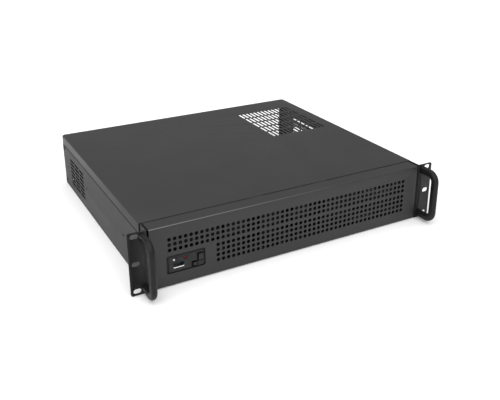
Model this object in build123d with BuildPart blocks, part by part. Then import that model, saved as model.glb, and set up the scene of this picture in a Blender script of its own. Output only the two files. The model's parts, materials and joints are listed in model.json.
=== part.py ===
from build123d import *
from math import cos, radians, sin
import os

# Two-unit rackmount server case, empty. Millimetres.
# X runs to the right seen from the front, Y to the rear and Z up. The origin is in the middle
# of the case's outline, on the surface that its floor rests on.

# Rack standard
ear_span = 482.6
rack_slot_spacing = 465.1
rack_slot_pitch = 38.1
rack_slot_length = 10.5
rack_slot_width = 7.0

# Outer sizes
body_width = 437.0
body_depth = 400.0
body_height = 88.0
sheet = 1.0
sheet_bend = 1.5
seat = 0.2

# Handles
handle_reach = 35.5
handle_spacing = 72.0
handle_width = 7.5
handle_depth = 11.0
handle_round = 3.0
handle_bend = 12.0
handle_x = 222.2
handle_thread = 12.0
handle_screw_gap = 2.0

# Rack ears
ear_height = 87.0
ear_rise = 0.9
ear_sheet = 2.0
ear_bend = 3.0
ear_corner = 2.5
ear_flange_x = 215.2
ear_flange_depth = 46.0
ear_notch_start = 20.8
ear_screw_back = 34.0
ear_screw_heights = (16.0, 36.0, 56.0)

# Top cover
cover_flange = 14.6
cover_front = 22.3
cover_lip = 4.5
seam_gap = 0.3
tongue_x = 52.0
tongue_width = 20.0
tongue_drop = 1.8
tongue_step = 1.5
tongue_reach = 10.0
tongue_clearance = 3.0
tongue_room = 0.5
tongue_lap = 0.5

# Front bezel
bezel_width = 427.0
bezel_height = 86.5
bezel_depth = 22.0
bezel_rise = 0.6
bezel_sheet = 1.2
bezel_tab_width = 16.0
bezel_tab_height = 9.0
bezel_tab_places = (-200.0, -27.5, 80.0, 200.0)
bezel_screw_share = 0.55
bezel_face_edge = 4.0

# Punched holes of the bezel. The punch leaves nearly round holes, drawn here with six sides.
hole_pitch = 7.5
hole_across = 4.7
hole_sides = 6
hole_columns = 51
upper_rows = 3
lower_rows = 4
skipped_columns = 9
upper_margin = 19.7
block_gap = 9.3

# Slotted vents
vent_slot = 23.5
vent_width = 4.0
vent_bridge = 3.4
top_vent_pitch = 7.6
top_vent_columns = 14
top_vent_rows = 5
top_vent_x = 144.5
top_vent_rear = 50.0
side_vent_pitch = 6.8
side_vent_columns = 3
side_vent_rows = 7
side_vent_back = 318.0
side_vent_z = 37.5

# Screws: shank radius, head radius and head height
m2 = 1.0
m2_head = 1.9
m2_head_height = 1.4
m3 = 1.5
m3_head = 2.8
m3_head_height = 2.0
m4 = 2.0
m4_head = 3.5
m4_head_height = 2.2
screw_play = 0.15
blind_share = 0.8
thread_share = 0.7
slot_screw_end = 1.0
cover_screw_end = 2.0
side_screw_end = 1.5
bezel_screw_end = 1.5
panel_screw_share = 0.6
board_screw_end = 4.0

# Cross recess of a screw, as shares of its head's radius and height
recess_length = 1.1
recess_width = 0.3
recess_depth = 0.45

# Side wall holes
rail_holes_back = (90.0, 265.0, 372.0)
rail_hole_z = 40.0
side_screw_edge = 7.5
side_screw_heights = (8.5, 66.5)

# Control corner of the bezel
control_x = -165.6
control_z = 31.25
control_width = 54.0
control_height = 25.7
control_corner = 3.0
control_groove = 1.5
panel_front = 0.6
panel_flange = 3.2
panel_sheet = 2.0
panel_ear = 9.0
panel_corner = 2.0
post_offsets = ((-22.0, -13.0), (5.0, 13.0))
post_radius = 2.4
post_hole = 5.0
power_offset = (20.4, 1.6)
power_size = (8.4, 10.4)
reset_offset = (11.8, -6.8)
reset_size = (6.6, 5.8)
key_gap = 1.1
key_proud = 0.8
key_travel = 1.5
key_stem = 4.0
key_corner = 0.8
key_chamfer = 0.3
key_floor = 0.8
key_barb = 1.2
key_barb_depth = 1.0
switch_size = 6.0
switch_height = 2.4
plunger_radius = 1.6
plunger_height = 0.3
led_offset = (-16.2, 5.2)
led_radius = 1.5
activity_offset = (-0.7, 5.4)
activity_radius = 2.5
lens_proud = 0.5
lens_depth = 2.4
lens_collar = 0.5
lead_spacing = 1.6
lead_size = 0.5
usb_offset = (-10.2, -2.9)
usb_size = (14.5, 7.0)
usb_wall = 0.5
usb_proud = 0.2
usb_corner = 0.7
usb_block = 2.0
usb_tongue_rise = 1.1
usb_tongue_inset = 0.8
usb_tongue_height = 1.9
usb_tongue_back = 0.8
board_front = 11.7
board_sheet = 1.6
board_inset = 1.0
board_over = 3.0

# Inner front wall and fans
wall_front = 22.3
wall_half = 214.9
wall_flange = 12.0
wall_foot = 40.0
fan_places = (-80.0, 25.0)
fan_size = 80.0
fan_depth = 25.0
fan_bore = 76.0
fan_hole_spacing = 71.5
fan_z = 43.6
rotor_radius = 35.5
rotor_hub = 16.5
rotor_depth = 19.0
blade_count = 7
blade_sheet = 1.4
fan_flange = 4.0
fan_strut = 2.0
fan_strut_width = 4.0
fan_hub_gap = 0.8
fan_shaft = 1.5
fan_bearing_play = 0.05
fan_frame_corner = 4.0
fan_duct_inset = 0.4
fan_strut_lap = 2.0
fan_shaft_end = 0.4
rotor_wall = 1.5
rotor_end = 2.0
rotor_shaft_start = 1.0
blade_root_depth = 0.8
blade_root = (48, 20.0)
blade_tip = (30, 24.0)
cable_window = (50.0, 34.0)
air_slot_rows = 3
air_slot_inset = 8.0
air_slot_bridge = 6.0

# Drive cage for two stacked drives
cage_x = 156.0
cage_inner = 102.2
cage_height = 60.0
cage_front = 32.0
cage_depth = 146.0
cage_lip = 7.0
cage_window_shares = (0.4, 0.6)
cage_window_corner = 5.0
cage_screw_spread = 0.33
cage_screw_shares = (0.2, 0.8)
drive_hole_rows = (7.6, 34.6)
drive_hole_places = (28.0, 69.6, 129.6)
drive_slot = (7.0, 3.6)

# Cross brace under the cover
brace_back = 140.0
brace_width = 14.0
brace_height = 9.0
brace_top = 84.0
brace_screw_offset = 3.2
brace_screw_head = 2.4
brace_screw_head_height = 1.6

# Rear wall
rear_flange = 13.0
io_left = -208.5
io_right = 50.0
io_low = 3.2
io_high = 80.4
io_inset = 12.0
io_rim = 5.0
shield_x = -33.6
shield_width = 158.75
shield_height = 44.45
shield_low = 5.5
shield_corner = 1.0
slot_count = 4
slot_pitch = 20.32
slot_first_x = -196.5
slot_window = (13.0, 60.0)
slot_window_low = 10.0
slot_ledge = 78.4
slot_cover_width = 18.4
io_vent_columns = 14
supply_x = 140.5
supply_width = 150.0
supply_height = 86.0
supply_window = (140.0, 72.0)
supply_pad = 6.4
supply_hole_offsets = ((-69.0, 37.0), (69.0, 37.0), (-69.0, -27.0), (45.0, -37.0))
supply_hole = 1.9
supply_room = 1.0
cover_tab_places = (-212.3, 58.0)
cover_tab_width = 9.0
cover_tab_drop = 13.0
cover_screw_drop = 8.0

# Main board stand-offs on the small ATX grid
standoff_columns = (0.0, 157.48, 203.2)
standoff_rows = (0.0, 154.94, 227.33)
standoff_x = -206.5
standoff_rear_edge = 25.2
standoff_height = 6.5
standoff_across = 5.5
standoff_thread = 1.25
standoff_floor = 1.0

# A cutting shape runs this far past what it cuts
cut_over = 1.0

# Derived places
overall_depth = handle_reach + body_depth + m3_head_height
front_y = handle_reach - overall_depth / 2
half_width = body_width / 2
wall_inner = half_width - sheet
upper_outer = half_width - sheet - seam_gap
upper_inner = upper_outer - sheet
wall_step = half_width - upper_outer
seam_z = body_height - cover_flange - seam_gap
tray_top = body_height - sheet - seat
bezel_top = bezel_rise + bezel_height
ear_mid = ear_rise + ear_height / 2
rear_face = body_depth - sheet - seat
floor_top = sheet


def behind(distance):
    """Y of a place at a distance behind the front face of the rack ears."""
    return front_y + distance


def folded(points, thickness, bend, side):
    """Section of a folded sheet whose one face follows the points."""
    with BuildSketch() as section:
        with BuildLine():
            FilletPolyline(*points, radius=bend)
            offset(amount=thickness, side=side)
        make_face()
    return section.sketch


def finish(part, name):
    """Names a finished piece and writes it."""
    part.label = name
    export_step(part, f"parts/{name}.step")


def across(x):
    """Plane that looks along X, with Y to its right and Z up, at a place on X."""
    return Plane(origin=(x, 0, 0), x_dir=(0, 1, 0), z_dir=(1, 0, 0))


def facing(distance):
    """Plane that looks from the front, with X to its right and Z up."""
    return Plane(origin=(0, behind(distance), 0), x_dir=(1, 0, 0), z_dir=(0, -1, 0))


def screws(name, seats, shank, head, head_height, length, slot=True):
    """One group of equal pan-head screws, each seated on the face of its own plane."""
    with BuildPart() as group:
        for place in seats:
            with BuildSketch(place):
                Circle(head)
            extrude(amount=head_height)
            with BuildSketch(place):
                Circle(shank)
            extrude(amount=-length)
            if slot:
                with BuildSketch(place.offset(head_height)):
                    Rectangle(head * recess_length, head * recess_width)
                    Rectangle(head * recess_width, head * recess_length)
                extrude(amount=-head_height * recess_depth, mode=Mode.SUBTRACT)
    finish(group.part, name)


def side_seat(side, x, distance, z):
    """Seat of a screw whose head points away from the middle of the case along X."""
    return Plane(origin=(side * x, behind(distance), z), x_dir=(0, 1, 0), z_dir=(side, 0, 0))


def inner_seat(side, x, distance, z):
    """Seat of a screw whose head points to the middle of the case along X."""
    return Plane(origin=(side * x, behind(distance), z), x_dir=(0, 1, 0), z_dir=(-side, 0, 0))


def front_seat(x, distance, z):
    """Seat of a screw whose head points to the front."""
    return Plane(origin=(x, behind(distance), z), x_dir=(1, 0, 0), z_dir=(0, -1, 0))


def rear_seat(x, distance, z):
    """Seat of a screw whose head points to the rear."""
    return Plane(origin=(x, behind(distance), z), x_dir=(1, 0, 0), z_dir=(0, 1, 0))


os.makedirs("parts", exist_ok=True)

# Places that several pieces share
bezel_screw_heights = (
    bezel_rise + bezel_sheet + bezel_tab_height * bezel_screw_share,
    bezel_top - bezel_sheet - bezel_tab_height * bezel_screw_share,
)
cage_outer = cage_inner / 2 + sheet
cage_screw_places = [
    (cage_x + side * cage_inner * cage_screw_spread, cage_front + share * cage_depth)
    for side in (-1, 1)
    for share in cage_screw_shares
]
standoff_places = [
    (standoff_x + column, body_depth - standoff_rear_edge - row)
    for column in standoff_columns
    for row in standoff_rows
]
fan_back = wall_front + sheet + seat
fan_corner = fan_hole_spacing / 2
brace_screw_z = brace_top - brace_height / 2
air_slot_pitch = cage_height / air_slot_rows
side_screw_back = body_depth - side_screw_edge

# Chassis tray: floor, side walls and inner front wall in one folded sheet
wall_section = [
    (-upper_outer, tray_top),
    (-upper_outer, seam_z),
    (-half_width, seam_z - wall_step),
    (-half_width, 0),
    (half_width, 0),
    (half_width, seam_z - wall_step),
    (upper_outer, seam_z),
    (upper_outer, tray_top),
]
front_section = [
    (behind(wall_front + wall_foot), 0),
    (behind(wall_front), 0),
    (behind(wall_front), tray_top),
    (behind(wall_front + wall_flange), tray_top),
]
with BuildPart() as chassis_tray:
    with BuildSketch(facing(ear_bend + seat)):
        add(folded(wall_section, sheet, sheet_bend, Side.LEFT))
    extrude(amount=-(rear_face - ear_bend - seat))
    # In front of the inner wall only the lower side walls go on, up to the ears
    with BuildSketch(facing(0)):
        with Locations((0, body_height / 2)):
            Rectangle(2 * wall_inner, body_height + 2 * cut_over)
        with Locations((0, seam_z - wall_step + body_height / 2)):
            Rectangle(body_width + 2 * cut_over, body_height)
    extrude(amount=-wall_front, mode=Mode.SUBTRACT)
    with BuildSketch(facing(wall_front)):
        with Locations((0, seam_z + body_height / 2)):
            Rectangle(body_width + 2 * cut_over, body_height)
    extrude(amount=-sheet - seam_gap, mode=Mode.SUBTRACT)
    with BuildSketch(across(-wall_half)):
        add(folded(front_section, sheet, sheet_bend, Side.RIGHT))
    extrude(amount=2 * wall_half)
    # Fan openings with their screw holes
    with BuildSketch(facing(wall_front)):
        for fan_x in fan_places:
            with Locations((fan_x, fan_z)):
                Circle(fan_bore / 2)
                with GridLocations(fan_hole_spacing, fan_hole_spacing, 2, 2):
                    Circle(m4 + screw_play)
        # Window for the leads of the control board, and air slots before the drives
        with Locations((control_x, control_z)):
            RectangleRounded(*cable_window, control_corner)
        with Locations((cage_x, floor_top + cage_height / 2)):
            with GridLocations(0, air_slot_pitch, 1, air_slot_rows):
                SlotOverall(cage_inner - 2 * air_slot_inset, air_slot_pitch - air_slot_bridge)
        for bezel_z in bezel_screw_heights:
            for tab_x in bezel_tab_places:
                with Locations((tab_x, bezel_z)):
                    Circle(m3 + screw_play)
    extrude(amount=-sheet, mode=Mode.SUBTRACT)
    # Notches that let the tongues of the cover pass
    with BuildSketch(facing(wall_front)):
        with Locations((-tongue_x, body_height), (tongue_x, body_height)):
            Rectangle(
                tongue_width + 2 * tongue_clearance,
                2 * (sheet + tongue_drop + sheet + tongue_room),
            )
    extrude(amount=-wall_flange - sheet, mode=Mode.SUBTRACT)
    # Side vents, rail holes and the holes of the side screws
    with BuildSketch(across(-half_width)):
        with Locations((behind(side_vent_back), side_vent_z)):
            with GridLocations(
                vent_slot + vent_bridge, side_vent_pitch, side_vent_columns, side_vent_rows
            ):
                Rectangle(vent_slot, vent_width)
        for rail_back in rail_holes_back:
            with Locations((behind(rail_back), rail_hole_z)):
                Circle(m4 + screw_play)
        for screw_z in side_screw_heights:
            with Locations((behind(side_screw_back), screw_z)):
                Circle(m4 + screw_play)
    extrude(amount=body_width, mode=Mode.SUBTRACT)
    # Blind threads for the ears and the brace, and in the floor for the cage and the stand-offs
    for side in (-1, 1):
        with BuildSketch(across(side * wall_inner)):
            for screw_z in ear_screw_heights:
                with Locations((behind(ear_screw_back), screw_z)):
                    Circle(m3 + screw_play)
        extrude(amount=side * sheet * blind_share, mode=Mode.SUBTRACT)
        with BuildSketch(across(side * upper_inner)):
            for offset_y in (-brace_screw_offset, brace_screw_offset):
                with Locations((behind(brace_back + offset_y), brace_screw_z)):
                    Circle(m3 + screw_play)
        extrude(amount=side * sheet * blind_share, mode=Mode.SUBTRACT)
    with BuildSketch(Plane.XY.offset(floor_top)):
        for screw_x, screw_back in cage_screw_places + standoff_places:
            with Locations((screw_x, behind(screw_back))):
                Circle(m3 + screw_play)
    extrude(amount=-sheet * blind_share, mode=Mode.SUBTRACT)
finish(chassis_tray.part, "chassis_tray")

# Rear panel: plate with forward flanges at the sides and the top
rear_side_section = [
    (-wall_inner + seat, behind(rear_face - rear_flange)),
    (-wall_inner + seat, behind(rear_face)),
    (wall_inner - seat, behind(rear_face)),
    (wall_inner - seat, behind(rear_face - rear_flange)),
]
rear_top_section = [
    (behind(rear_face), seam_z - 2 * sheet),
    (behind(rear_face), tray_top),
    (behind(rear_face - rear_flange), tray_top),
]
supply_z = floor_top + supply_height / 2
with BuildPart() as rear_panel:
    with BuildSketch(Plane.XY.offset(floor_top + seat)):
        add(folded(rear_side_section, sheet, sheet_bend, Side.RIGHT))
    extrude(amount=seam_z - 3 * sheet - seat)
    with BuildSketch(across(-upper_inner + seat)):
        add(folded(rear_top_section, sheet, sheet_bend, Side.LEFT))
    extrude(amount=2 * (upper_inner - seat))
    with BuildSketch(facing(rear_face - sheet)):
        # Window of the connector panel
        with Locations(((io_left + io_right) / 2, (io_low + io_high) / 2)):
            Rectangle(io_right - io_left, io_high - io_low)
        # Power supply opening, with a pad left at each of its screws
        with Locations((supply_x, supply_z)):
            Rectangle(*supply_window)
            with Locations(supply_hole_offsets):
                Rectangle(2 * supply_pad, 2 * supply_pad, mode=Mode.SUBTRACT)
                Circle(supply_hole)
        for tab_x in cover_tab_places:
            with Locations((tab_x, body_height - cover_screw_drop)):
                Circle(m3 + screw_play)
    extrude(amount=-sheet, both=True, mode=Mode.SUBTRACT)
    with BuildSketch(across(-half_width)):
        for screw_z in side_screw_heights:
            with Locations((behind(side_screw_back), screw_z)):
                Circle(m4 + screw_play)
    extrude(amount=body_width, mode=Mode.SUBTRACT)
    # Notches in the top flange for the tongues of the cover
    with BuildSketch(facing(rear_face - rear_flange - sheet)):
        with Locations((-tongue_x, body_height), (tongue_x, body_height)):
            Rectangle(
                tongue_width + 2 * tongue_clearance,
                2 * (sheet + tongue_drop + sheet + tongue_room),
            )
        # The power supply fills the height, so that the flange stops beside it
        with Locations((supply_x, body_height)):
            Rectangle(
                supply_width + 2 * supply_room,
                2 * (body_height - tray_top + sheet_bend + sheet),
            )
    extrude(amount=-rear_flange - 2 * sheet, mode=Mode.SUBTRACT)
finish(rear_panel.part, "rear_panel")

# Connector panel: set in behind the rear panel, so that the slot covers' tabs have a ledge
io_x = (io_left + io_right) / 2
io_half = (io_right - io_left) / 2 - sheet
io_web = rear_face - io_inset
io_rim_face = rear_face - 2 * sheet - seat
io_ledge_section = [
    (behind(rear_face), io_low + sheet),
    (behind(io_web), io_low + sheet),
    (behind(io_web), slot_ledge),
    (behind(rear_face), slot_ledge),
]
slot_places = [slot_first_x + slot_pitch * index for index in range(slot_count)]
slot_screw_back = io_web + io_inset / 2
with BuildPart() as io_panel:
    with BuildSketch(across(io_x - io_half + sheet)):
        add(folded(io_ledge_section, sheet, sheet_bend, Side.RIGHT))
    extrude(amount=2 * (io_half - sheet))
    # End walls with the rims that lie in front of the rear panel
    for side in (-1, 1):
        io_side_section = [
            (io_x + side * (io_half + io_rim), behind(io_rim_face)),
            (io_x + side * io_half, behind(io_rim_face)),
            (io_x + side * io_half, behind(io_web)),
        ]
        with BuildSketch(Plane.XY.offset(io_low + 2 * sheet + seat)):
            add(folded(io_side_section, sheet, sheet_bend, Side.LEFT if side < 0 else Side.RIGHT))
        extrude(amount=slot_ledge - io_low - 3 * sheet - 2 * seat)
    with BuildSketch(facing(io_web - 3 * sheet)):
        for slot_x in slot_places:
            with Locations((slot_x, slot_window_low + slot_window[1] / 2)):
                Rectangle(*slot_window)
        with Locations((shield_x, shield_low + shield_height / 2)):
            RectangleRounded(shield_width, shield_height, shield_corner)
        with Locations((shield_x, (shield_low + shield_height + slot_ledge) / 2)):
            with GridLocations(top_vent_pitch, 0, io_vent_columns, 1):
                Rectangle(vent_width, vent_slot - vent_width)
    extrude(amount=-6 * sheet, mode=Mode.SUBTRACT)
    for slot_x in slot_places:
        with BuildSketch(Plane(origin=(slot_x, behind(slot_screw_back), slot_ledge))):
            Circle(m3 + screw_play)
        extrude(amount=-2 * sheet, mode=Mode.SUBTRACT)
finish(io_panel.part, "io_panel")

# Slot covers: a strip with its top bent to the rear over the ledge
slot_cover_section = [
    (behind(io_web - sheet - seat), io_low + 3 * sheet),
    (behind(io_web - sheet - seat), slot_ledge + seat + sheet),
    (behind(rear_face - sheet), slot_ledge + seat + sheet),
]
for index, slot_x in enumerate(slot_places):
    with BuildPart() as slot_cover:
        with BuildSketch(across(slot_x - slot_cover_width / 2)):
            add(folded(slot_cover_section, sheet, sheet_bend, Side.RIGHT))
        extrude(amount=slot_cover_width)
        with BuildSketch(
            Plane(origin=(slot_x, behind(slot_screw_back), slot_ledge + seat + sheet))
        ):
            Circle(m3 + screw_play)
        extrude(amount=-sheet, mode=Mode.SUBTRACT)
    finish(slot_cover.part, f"slot_cover_{index + 1}")

screws(
    "slot_screws",
    [
        Plane(origin=(slot_x, behind(slot_screw_back), slot_ledge + seat + sheet))
        for slot_x in slot_places
    ],
    m3,
    m3_head,
    m3_head_height,
    2 * sheet + seat + slot_screw_end,
)

# Top cover: plate with side flanges, a rear lip and two tongues under the bezel
cover_section = [
    (-half_width, body_height - cover_flange),
    (-half_width, body_height),
    (half_width, body_height),
    (half_width, body_height - cover_flange),
]
lip_section = [
    (behind(body_depth - 2 * sheet_bend), body_height),
    (behind(body_depth), body_height),
    (behind(body_depth), body_height - cover_lip),
]
tongue_z = body_height - sheet - tongue_drop
with BuildPart() as top_cover:
    with BuildSketch(facing(cover_front)):
        add(folded(cover_section, sheet, sheet_bend, Side.RIGHT))
    extrude(amount=-(body_depth - 2 * sheet_bend - cover_front))
    with BuildSketch(across(-half_width + 2 * sheet_bend)):
        add(folded(lip_section, sheet, sheet_bend, Side.RIGHT))
    extrude(amount=2 * (half_width - 2 * sheet_bend))
    # Screw tabs that hang from the rear lip
    with BuildSketch(facing(body_depth - sheet)):
        for tab_x in cover_tab_places:
            with Locations((tab_x, body_height - cover_tab_drop / 2 - sheet_bend)):
                Rectangle(cover_tab_width, cover_tab_drop)
    extrude(amount=-sheet)
    with BuildSketch(facing(body_depth - sheet)):
        for tab_x in cover_tab_places:
            with Locations((tab_x, body_height - cover_screw_drop)):
                Circle(m3 + screw_play)
    extrude(amount=-sheet, mode=Mode.SUBTRACT)
    # Stepped tongues lanced from the front edge
    with BuildSketch(facing(cover_front)):
        with Locations((-tongue_x, body_height), (tongue_x, body_height)):
            Rectangle(tongue_width, 4 * sheet)
    extrude(amount=-tongue_step, mode=Mode.SUBTRACT)
    with BuildSketch(across(-tongue_x - tongue_width / 2)):
        with BuildLine():
            Polyline(
                (behind(cover_front + tongue_step), body_height),
                (behind(cover_front), tongue_z),
                (behind(cover_front - tongue_reach), tongue_z),
                (behind(cover_front - tongue_reach), tongue_z - sheet),
                (behind(cover_front + tongue_lap), tongue_z - sheet),
                (behind(cover_front + tongue_step + tongue_lap), body_height - sheet),
                (behind(cover_front + tongue_step + tongue_lap), body_height),
                close=True,
            )
        make_face()
    extrude(amount=tongue_width)
    mirror(about=Plane.YZ)
    # Vent above the power supply
    vent_depth = top_vent_rows * (vent_slot + vent_bridge) - vent_bridge
    with BuildSketch(Plane.XY.offset(body_height)):
        with Locations((top_vent_x, behind(body_depth - top_vent_rear - vent_depth / 2))):
            with GridLocations(
                top_vent_pitch, vent_slot + vent_bridge, top_vent_columns, top_vent_rows
            ):
                Rectangle(vent_width, vent_slot)
    extrude(amount=-sheet, mode=Mode.SUBTRACT)
finish(top_cover.part, "top_cover")

screws(
    "cover_screws",
    [rear_seat(tab_x, body_depth, body_height - cover_screw_drop) for tab_x in cover_tab_places],
    m3,
    m3_head,
    m3_head_height,
    2 * sheet + seat + cover_screw_end,
)
screws(
    "side_screws",
    [
        side_seat(side, half_width, side_screw_back, screw_z)
        for side in (-1, 1)
        for screw_z in side_screw_heights
    ],
    m4,
    m4_head,
    m4_head_height / 2,
    2 * sheet + seat + side_screw_end,
)

# Front bezel: channel with the punched field and the control opening
bezel_section = [
    (behind(bezel_depth), bezel_top),
    (behind(0), bezel_top),
    (behind(0), bezel_rise),
    (behind(bezel_depth), bezel_rise),
]
lower_columns = hole_columns - skipped_columns
upper_z = bezel_top - upper_margin - hole_pitch * (upper_rows - 1) / 2
lower_z = upper_z - hole_pitch * (upper_rows + lower_rows - 2) / 2 - block_gap
lower_x = hole_pitch * skipped_columns / 2
panel_half_width = control_width / 2 + panel_flange + panel_ear
panel_screw_x = panel_half_width - panel_ear / 2
with BuildPart() as front_bezel:
    with BuildSketch(across(-bezel_width / 2)):
        add(folded(bezel_section, bezel_sheet, sheet_bend, Side.LEFT))
    extrude(amount=bezel_width)
    # Tabs that are screwed to the inner wall
    with BuildSketch(facing(bezel_depth - bezel_sheet)):
        for tab_x in bezel_tab_places:
            with Locations((tab_x, bezel_rise + bezel_tab_height / 2 + bezel_sheet / 2)):
                Rectangle(bezel_tab_width, bezel_tab_height + bezel_sheet)
            with Locations((tab_x, bezel_top - bezel_tab_height / 2 - bezel_sheet / 2)):
                Rectangle(bezel_tab_width, bezel_tab_height + bezel_sheet)
        for bezel_z in bezel_screw_heights:
            for tab_x in bezel_tab_places:
                with Locations((tab_x, bezel_z)):
                    Circle(m3 + screw_play, mode=Mode.SUBTRACT)
    extrude(amount=-bezel_sheet)
    # The flat of the face is cut out and put back with its holes
    with BuildSketch(facing(0)):
        with Locations((0, bezel_rise + bezel_height / 2)):
            Rectangle(bezel_width, bezel_height - 2 * bezel_face_edge)
    extrude(amount=-bezel_sheet, mode=Mode.SUBTRACT)
    with BuildSketch(facing(0)):
        with Locations((0, bezel_rise + bezel_height / 2)):
            Rectangle(bezel_width, bezel_height - 2 * bezel_face_edge)
        with Locations((0, upper_z)):
            with GridLocations(hole_pitch, hole_pitch, hole_columns, upper_rows):
                RegularPolygon(hole_across / 2, hole_sides, rotation=30, mode=Mode.SUBTRACT)
        with Locations((lower_x, lower_z)):
            with GridLocations(hole_pitch, hole_pitch, lower_columns, lower_rows):
                RegularPolygon(hole_across / 2, hole_sides, rotation=30, mode=Mode.SUBTRACT)
        with Locations((control_x, control_z)):
            RectangleRounded(
                control_width, control_height, control_corner, mode=Mode.SUBTRACT
            )
    extrude(amount=-bezel_sheet)
    # Blind threads for the screws of the control panel
    for side in (-1, 1):
        with BuildSketch(rear_seat(control_x + side * panel_screw_x, bezel_sheet, control_z)):
            Circle(m3 + screw_play)
        extrude(amount=-bezel_sheet * blind_share, mode=Mode.SUBTRACT)
finish(front_bezel.part, "front_bezel")

screws(
    "bezel_screws",
    [
        rear_seat(tab_x, wall_front + sheet, bezel_z)
        for tab_x in bezel_tab_places
        for bezel_z in bezel_screw_heights
    ],
    m3,
    m3_head,
    m3_head_height,
    sheet + bezel_sheet + bezel_screw_end,
    slot=False,
)

# Rack ears: brackets whose plate lies in the plane of the bezel and whose flange runs back
arm_heights = (ear_mid - handle_spacing / 2, ear_mid + handle_spacing / 2)
for side, name in ((-1, "left_ear"), (1, "right_ear")):
    ear_section = [
        (side * ear_span / 2, behind(0)),
        (side * ear_flange_x, behind(0)),
        (side * ear_flange_x, behind(ear_flange_depth)),
    ]
    with BuildPart() as ear:
        with BuildSketch(Plane.XY.offset(ear_rise)):
            add(folded(ear_section, ear_sheet, ear_bend, Side.LEFT if side < 0 else Side.RIGHT))
        extrude(amount=ear_height)
        outer_edges = ear.edges().filter_by(Axis.Y).group_by(Axis.X)[0 if side < 0 else -1]
        fillet(outer_edges, ear_corner)
        # Behind the bezel the flange stays inside the tray's floor and step
        with BuildSketch(across(0)):
            with Locations((behind(ear_notch_start + ear_flange_depth / 2), 0)):
                Rectangle(ear_flange_depth, 2 * (floor_top + seat))
            with Locations((behind(ear_notch_start + ear_flange_depth / 2), body_height)):
                Rectangle(ear_flange_depth, 2 * (body_height - seam_z + 2 * sheet))
        extrude(amount=side * ear_span, mode=Mode.SUBTRACT)
        with BuildSketch(facing(0)):
            with Locations((side * rack_slot_spacing / 2, ear_mid)):
                with GridLocations(0, rack_slot_pitch, 1, 3):
                    SlotOverall(rack_slot_length, rack_slot_width)
            for arm_z in arm_heights:
                with Locations((side * handle_x, arm_z)):
                    Circle(m4 + screw_play)
        extrude(amount=-ear_sheet, mode=Mode.SUBTRACT)
        with BuildSketch(across(0)):
            for screw_z in ear_screw_heights:
                with Locations((behind(ear_screw_back), screw_z)):
                    Circle(m3 + screw_play)
        extrude(amount=side * ear_span, mode=Mode.SUBTRACT)
    finish(ear.part, name)

screws(
    "ear_screws",
    [
        inner_seat(side, ear_flange_x, ear_screw_back, screw_z)
        for side in (-1, 1)
        for screw_z in ear_screw_heights
    ],
    m3,
    m3_head,
    m3_head_height,
    wall_inner - ear_flange_x + sheet * thread_share,
    slot=False,
)

# Handles: bent bars of rounded oblong section with a blind thread in each end
for side, name in ((-1, "left_handle"), (1, "right_handle")):
    bar_back = -handle_reach + handle_depth / 2
    with BuildPart() as handle:
        with BuildLine(across(side * handle_x)) as handle_path:
            FilletPolyline(
                (behind(-seat), arm_heights[0]),
                (behind(bar_back), arm_heights[0]),
                (behind(bar_back), arm_heights[1]),
                (behind(-seat), arm_heights[1]),
                radius=handle_bend,
            )
        with BuildSketch(front_seat(side * handle_x, -seat, arm_heights[0])):
            RectangleRounded(handle_width, handle_depth, handle_round)
        sweep()
        for arm_z in arm_heights:
            with BuildSketch(rear_seat(side * handle_x, -seat, arm_z)):
                Circle(m4 + screw_play)
            extrude(amount=-handle_thread, mode=Mode.SUBTRACT)
    finish(handle.part, name)

screws(
    "handle_screws",
    [
        rear_seat(side * handle_x, ear_sheet, arm_z)
        for side in (-1, 1)
        for arm_z in arm_heights
    ],
    m4,
    m4_head,
    m4_head_height,
    ear_sheet + handle_thread - handle_screw_gap,
)

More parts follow.
